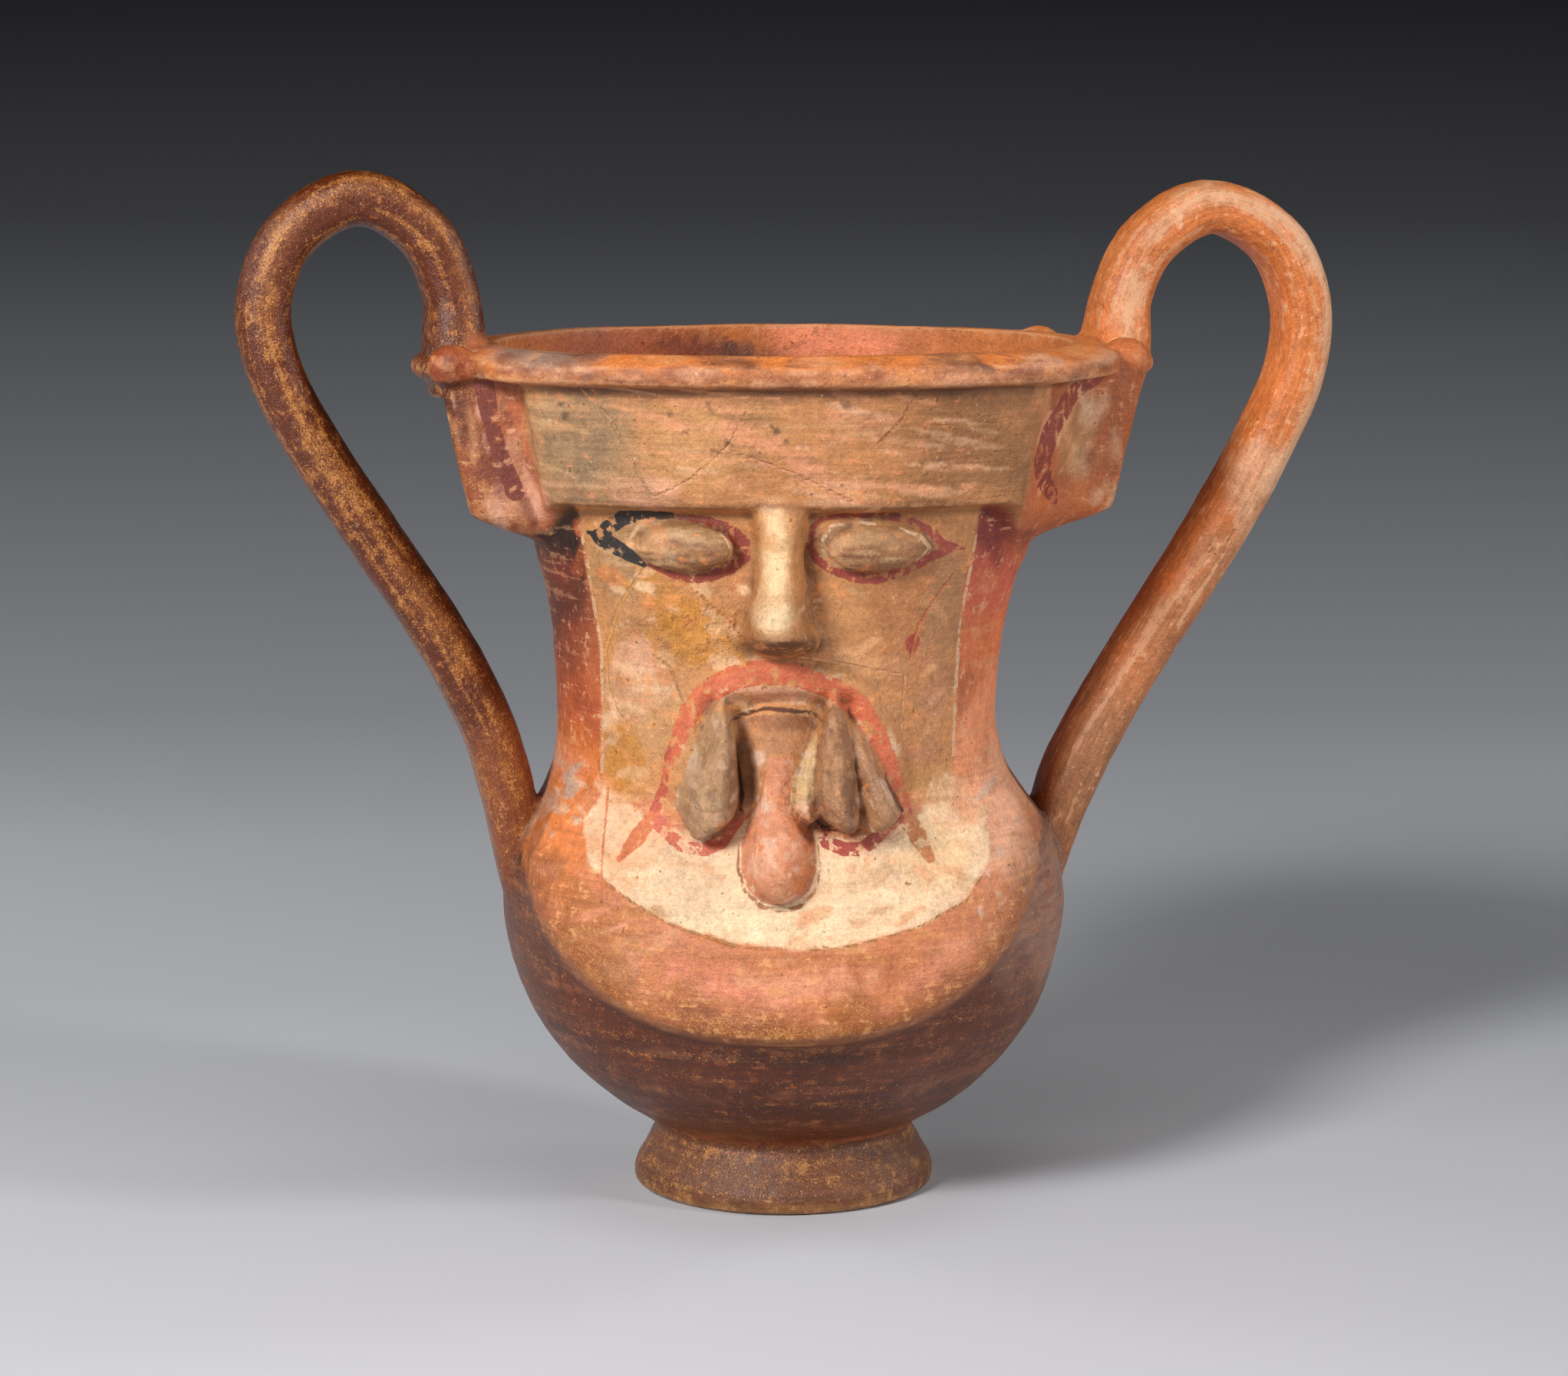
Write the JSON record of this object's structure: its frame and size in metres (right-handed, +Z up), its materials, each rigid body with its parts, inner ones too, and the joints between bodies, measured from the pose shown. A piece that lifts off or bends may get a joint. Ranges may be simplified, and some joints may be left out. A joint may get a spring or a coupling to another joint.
{
  "type": "kantharos",
  "caption": "Footed drinking cup of fired clay with high loop handles, a flared block under the rim and a demon mask on its front.",
  "frame": {"origin": "middle of the underside of the whole cup's box, on the plane that the foot stands on; the cup's turned axis is 2.5 mm to -X and 1.6 mm to -Y of it", "axes": "+Z up; the mask looks along -Y; the handles reach out along X, turned about 10 degrees"},
  "size_m": [0.2688, 0.1532, 0.2524],
  "materials": {
    "painted_terracotta": "fired clay with worn matt slip, orange and red over buff, cream on the chin and brown on the left handle"
  },
  "bodies": {
    "root": {"kantharos": "painted_terracotta"}
  },
  "joints": []
}
